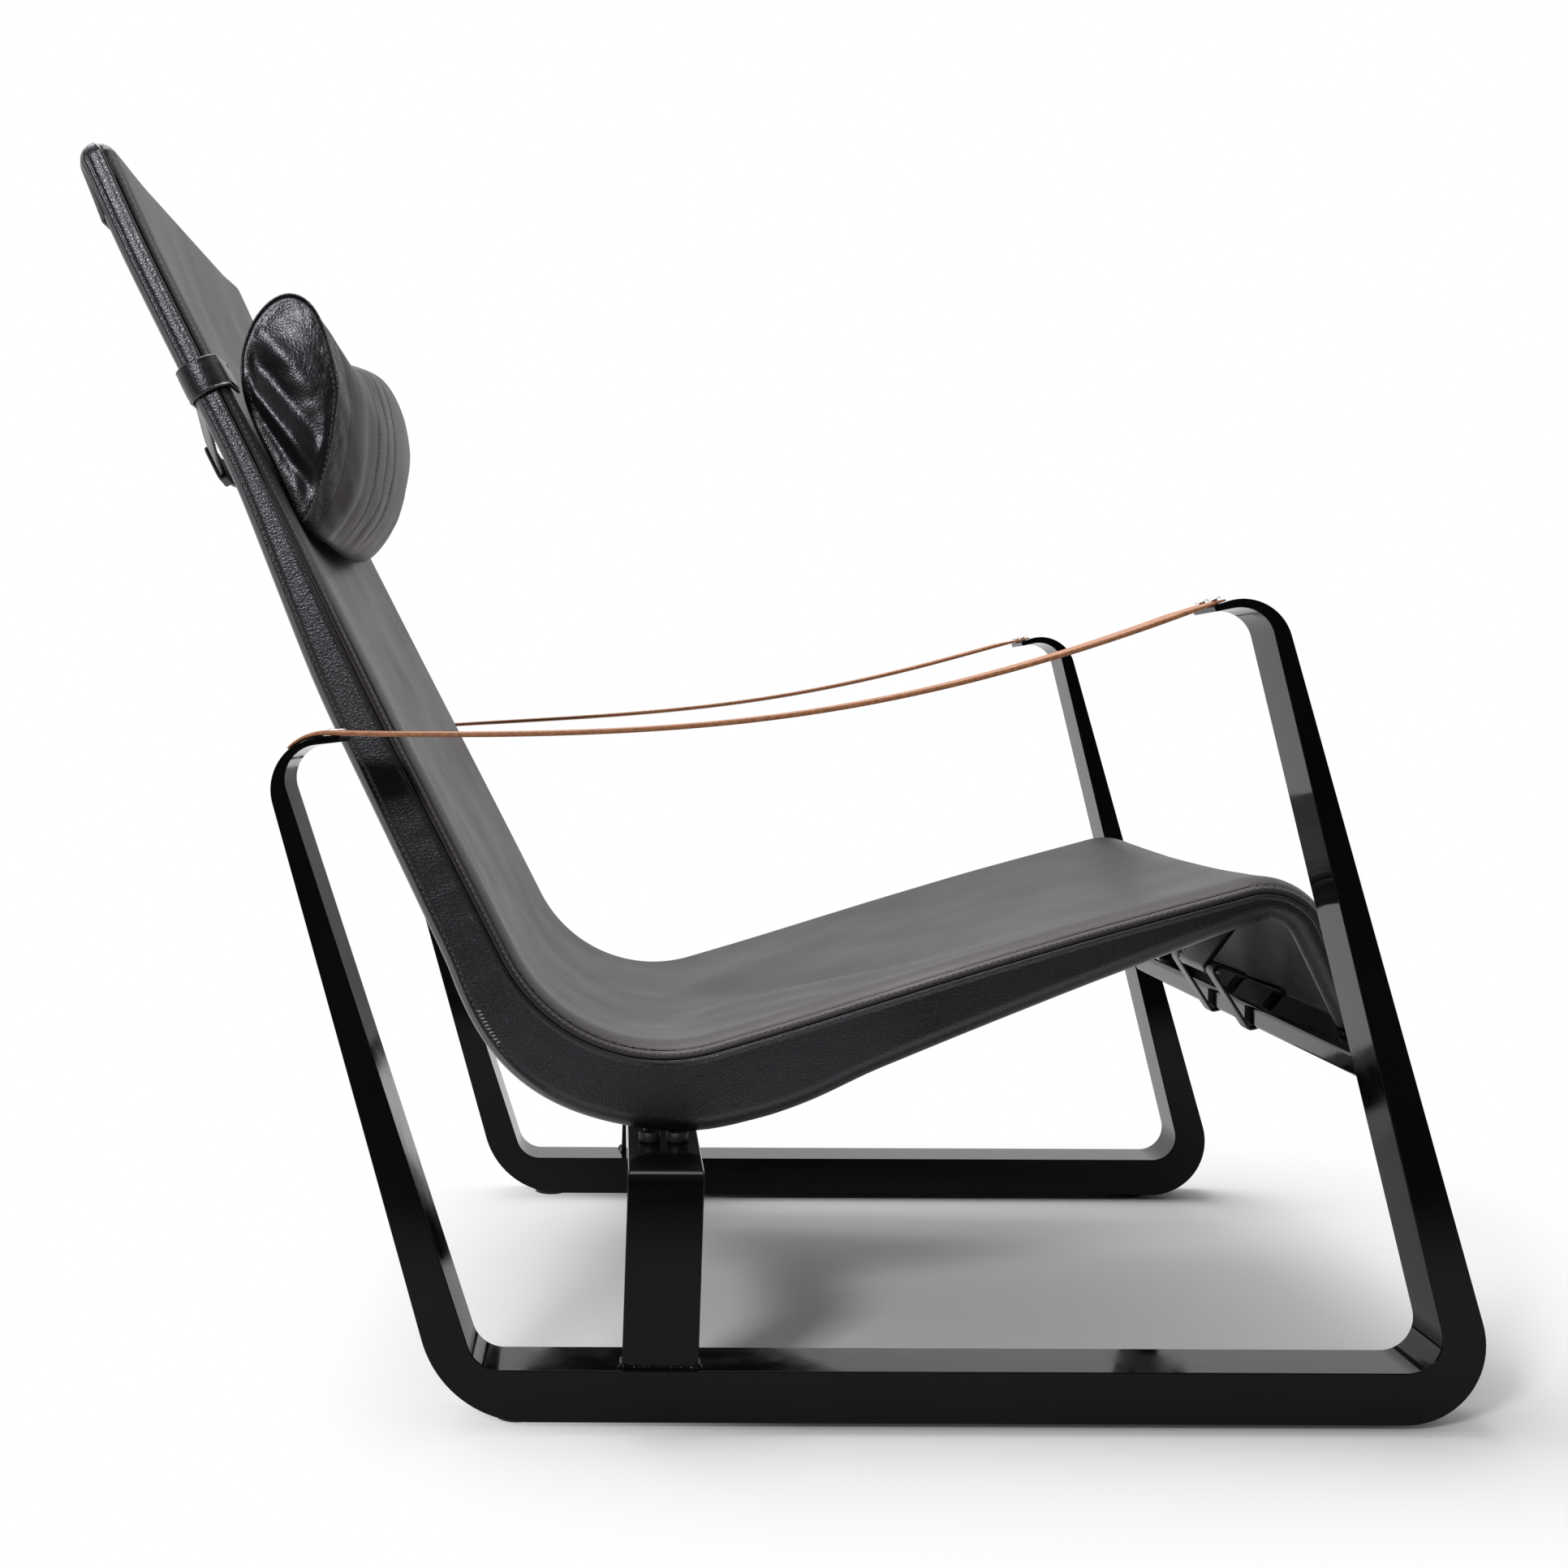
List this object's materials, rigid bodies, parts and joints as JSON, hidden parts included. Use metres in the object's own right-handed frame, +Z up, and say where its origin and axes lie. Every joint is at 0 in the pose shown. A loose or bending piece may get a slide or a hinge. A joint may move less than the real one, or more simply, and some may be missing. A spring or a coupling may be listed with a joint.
{
  "type": "sling lounge chair",
  "caption": "Low lounge chair: tapered bent steel side frames, a leather sling on two bent rails, leather strap arms and a belted head cushion.",
  "frame": {"origin": "on the floor, under the middle of the chair's bounding box", "axes": "+X to the front, where the sitter looks; +Y to the sitter's left; +Z up"},
  "size_m": [0.9216, 0.68, 0.8411],
  "materials": {
    "black_lacquer": "gloss black lacquer on steel",
    "black_leather": "pebble-grained black hide with a soft sheen",
    "tan_leather": "smooth tan bridle leather with burnished edges",
    "black_plastic": "matt black nylon",
    "bright_steel": "bright zinc-plated steel"
  },
  "bodies": {
    "chair": {"side_frame_left": "black_lacquer", "side_frame_right": "black_lacquer", "front_crossbar": "black_lacquer", "rear_bridge": "black_lacquer", "seat_rail_left": "black_lacquer", "seat_rail_right": "black_lacquer", "top_tube": "black_lacquer", "foot_bolt_left": "black_lacquer", "foot_bolt_right": "black_lacquer", "bridge_bolt_rear_left": "black_lacquer", "bridge_bolt_rear_right": "black_lacquer", "bridge_bolt_front_left": "black_lacquer", "bridge_bolt_front_right": "black_lacquer", "bridge_spacer_rear_left": "black_plastic", "bridge_spacer_rear_right": "black_plastic", "bridge_spacer_front_left": "black_plastic", "bridge_spacer_front_right": "black_plastic", "glide_front_left": "black_plastic", "glide_front_right": "black_plastic", "glide_rear_left": "black_plastic", "glide_rear_right": "black_plastic", "sling_sheet": "black_leather", "side_sleeve_left": "black_leather", "side_sleeve_right": "black_leather", "back_panel": "black_leather", "tension_tab": "black_leather", "tension_strap_left": "black_leather", "tension_strap_right": "black_leather", "tension_rod": "bright_steel", "arm_strap_left": "tan_leather", "arm_strap_right": "tan_leather", "strap_rivet_front_inner_left": "bright_steel", "strap_rivet_front_outer_left": "bright_steel", "strap_rivet_rear_inner_left": "bright_steel", "strap_rivet_rear_outer_left": "bright_steel", "strap_rivet_front_inner_right": "bright_steel", "strap_rivet_front_outer_right": "bright_steel", "strap_rivet_rear_inner_right": "bright_steel", "strap_rivet_rear_outer_right": "bright_steel"},
    "headrest": {"head_cushion": "black_leather", "head_belt": "black_leather", "belt_slider": "black_plastic"}
  },
  "joints": [
    {"name": "headrest_slide", "type": "slide", "parent": "chair", "child": "headrest", "axis": [-0.4493, 0, 0.8934], "range_m": [-0.045, 0.085]}
  ]
}
